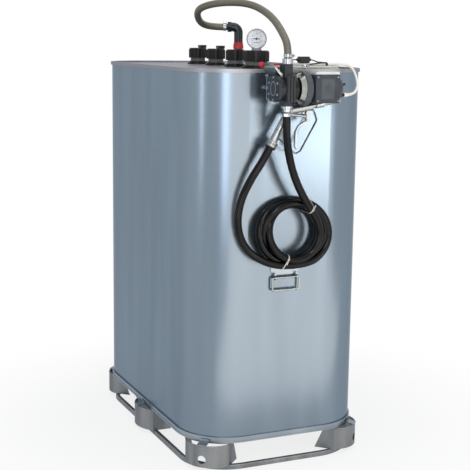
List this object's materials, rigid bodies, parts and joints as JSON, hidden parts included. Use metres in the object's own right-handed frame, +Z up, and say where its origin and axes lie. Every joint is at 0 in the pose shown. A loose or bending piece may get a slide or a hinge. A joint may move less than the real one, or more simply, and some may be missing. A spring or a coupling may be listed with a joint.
{
  "type": "fuel dispensing tank",
  "caption": "Upright double-walled metal fuel tank on a low base ring, with screw caps, a level gauge, an electric transfer pump, a coiled hose and a dispensing nozzle.",
  "frame": {"origin": "floor level, at the middle of the box round all pieces but the hoses and the lead", "axes": "+Z up; the pump end of the tank faces -Y; the long sides face -X and +X"},
  "size_m": [0.838, 1.382, 1.865],
  "materials": {
    "galvanised": "smooth spangled zinc skin",
    "galvanised_light": "bright folded zinc",
    "galvanised_dark": "dull hot-dip zinc",
    "tank_plastic": "natural moulded plastic",
    "cap_black": "moulded black",
    "red_plastic": "moulded red",
    "gauge_ring": "moulded lilac-grey",
    "dial_white": "printed white",
    "clear": "clear",
    "pump_dark": "dark grey-blue paint",
    "motor_grey": "grey paint",
    "polished": "polished",
    "box_grey": "moulded grey",
    "rail_white": "moulded off-white",
    "chrome": "plated",
    "hose_rubber": "smooth black rubber",
    "suction_rubber": "ribbed olive-grey",
    "lead_white": "off-white sheath",
    "tie_white": "natural nylon"
  },
  "bodies": {
    "tank": {"tank_jacket": "galvanised", "tank_bottom": "galvanised_light", "tank_top": "galvanised_light", "inner_tank": "tank_plastic", "base_ring": "galvanised_dark", "foot_rear_right": "galvanised_dark", "foot_rear_left": "galvanised_dark", "foot_front_left": "galvanised_dark", "foot_front_right": "galvanised_dark", "side_foot_left": "galvanised_dark", "side_foot_right": "galvanised_dark", "foot_clips": "galvanised_light", "neck_collars": "cap_black", "cap_fill": "cap_black", "cap_vent": "cap_black", "cap_suction": "cap_black", "cap_gauge": "cap_black", "cap_plugs": "cap_black", "suction_union": "red_plastic", "suction_elbow": "cap_black", "suction_hose": "suction_rubber", "gauge_case": "gauge_ring", "gauge_dial": "dial_white", "gauge_glass": "clear", "pump_body": "pump_dark", "pump_cover": "pump_dark", "pump_flange": "pump_dark", "motor_bell": "polished", "motor_ring": "motor_grey", "motor_shell": "motor_grey", "terminal_box": "box_grey", "box_rail": "rail_white", "cable_gland": "cap_black", "switch_base": "cap_black", "pump_bracket": "galvanised_light", "inlet_fitting": "chrome", "outlet_fitting": "chrome", "hose_clamps": "chrome", "hose_drop": "hose_rubber", "hose_coil": "hose_rubber", "hose_return": "hose_rubber", "hose_ties": "tie_white", "nozzle_swivel": "chrome", "nozzle_body": "polished", "nozzle_spout": "polished", "nozzle_guard": "cap_black", "nozzle_holder": "galvanised_light", "lead_cable": "lead_white", "lead_hank": "lead_white", "fuse_holder": "cap_black", "fuse_wires": "cap_black", "clamp_jaws": "galvanised_light", "clamp_grips": "red_plastic", "handle_plate_front": "galvanised_light", "handle_plate_rear": "galvanised_light"},
    "front_bail": {"handle_bail_front": "chrome"},
    "rear_bail": {"handle_bail_rear": "chrome"},
    "trigger": {"nozzle_lever": "galvanised_light"},
    "toggle": {"switch_lever": "cap_black"}
  },
  "joints": [
    {"name": "front_handle_swing", "type": "hinge", "parent": "tank", "child": "front_bail", "pos_m": [-0.014, -0.543, 0.774], "axis": [-1, 0, 0], "range_deg": [0, 90]},
    {"name": "rear_handle_swing", "type": "hinge", "parent": "tank", "child": "rear_bail", "pos_m": [-0.014, 0.685, 0.774], "axis": [1, 0, 0], "range_deg": [0, 90]},
    {"name": "nozzle_trigger", "type": "hinge", "parent": "tank", "child": "trigger", "pos_m": [0.042, -0.581, 1.388], "axis": [0, 1, 0], "range_deg": [0, 16], "stiffness_Nm_per_rad": 2, "springref_deg": -5.73},
    {"name": "switch_toggle", "type": "hinge", "parent": "tank", "child": "toggle", "pos_m": [0.1548, -0.624, 1.521], "axis": [0, 1, 0], "range_deg": [0, 24]}
  ]
}
